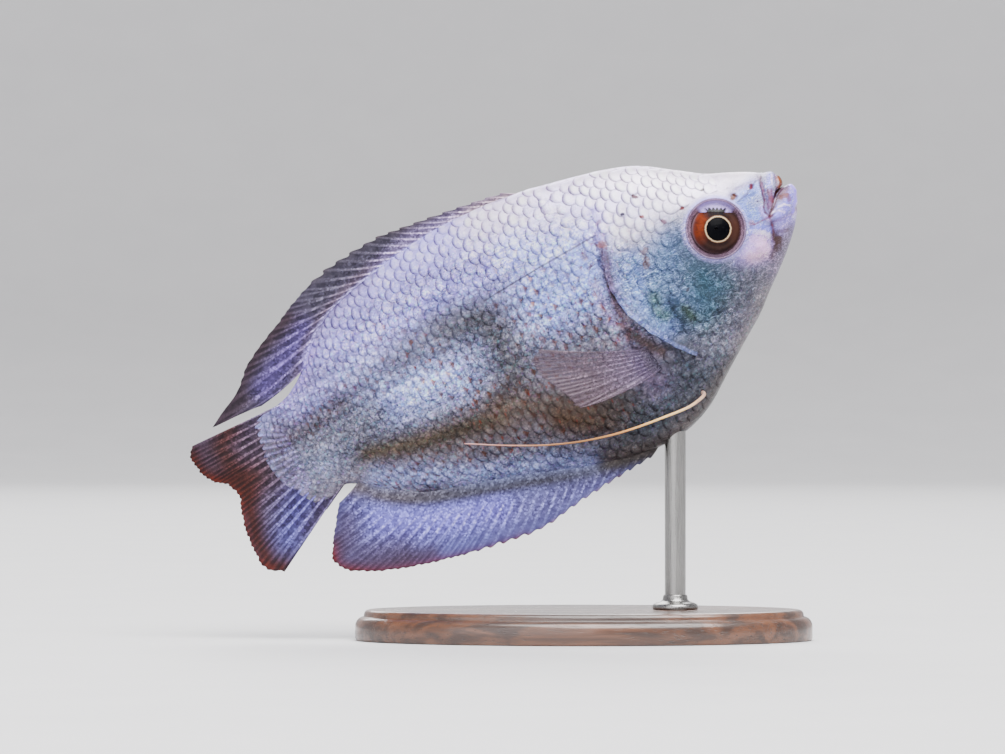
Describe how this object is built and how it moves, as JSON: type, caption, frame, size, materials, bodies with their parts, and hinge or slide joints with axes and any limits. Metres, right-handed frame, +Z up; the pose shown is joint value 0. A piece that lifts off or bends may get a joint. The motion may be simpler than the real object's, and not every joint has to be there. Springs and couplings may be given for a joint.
{
  "type": "dwarf gourami model",
  "caption": "Life-size still model of a dwarf gourami, deep flat-sided body with long dorsal and anal fins and thread-like pelvic fins, held nose up by a rod on an oval display base.",
  "frame": {"origin": "centre of the underside of the oval stand base", "axes": "+X towards the fish's head, +Y towards its left side, +Z up"},
  "size_m": [0.071, 0.03, 0.054],
  "materials": {
    "skin": "pearly lavender scales, cast resin painted in layers",
    "gill": "pearly blue-grey gill cover",
    "fin": "satin lavender membrane with raised rays",
    "tail": "satin lavender rays running out to a rust edge",
    "clear": "thin see-through membrane",
    "thread": "satin cream to gold feeler",
    "eye": "high gloss",
    "base": "dark stained and varnished",
    "rod": "fine brushed"
  },
  "bodies": {
    "root": {"head": "skin", "torso": "skin", "tail_stalk": "skin", "gill_cover_right": "gill", "gill_cover_left": "gill", "eye_right": "eye", "eye_left": "eye", "dorsal_fin": "fin", "anal_fin": "fin", "caudal_fin": "tail", "pectoral_fin_right": "clear", "pectoral_fin_left": "clear", "pelvic_fin_right": "thread", "pelvic_fin_left": "thread", "stand_base": "base", "stand_rod": "rod"}
  },
  "joints": []
}
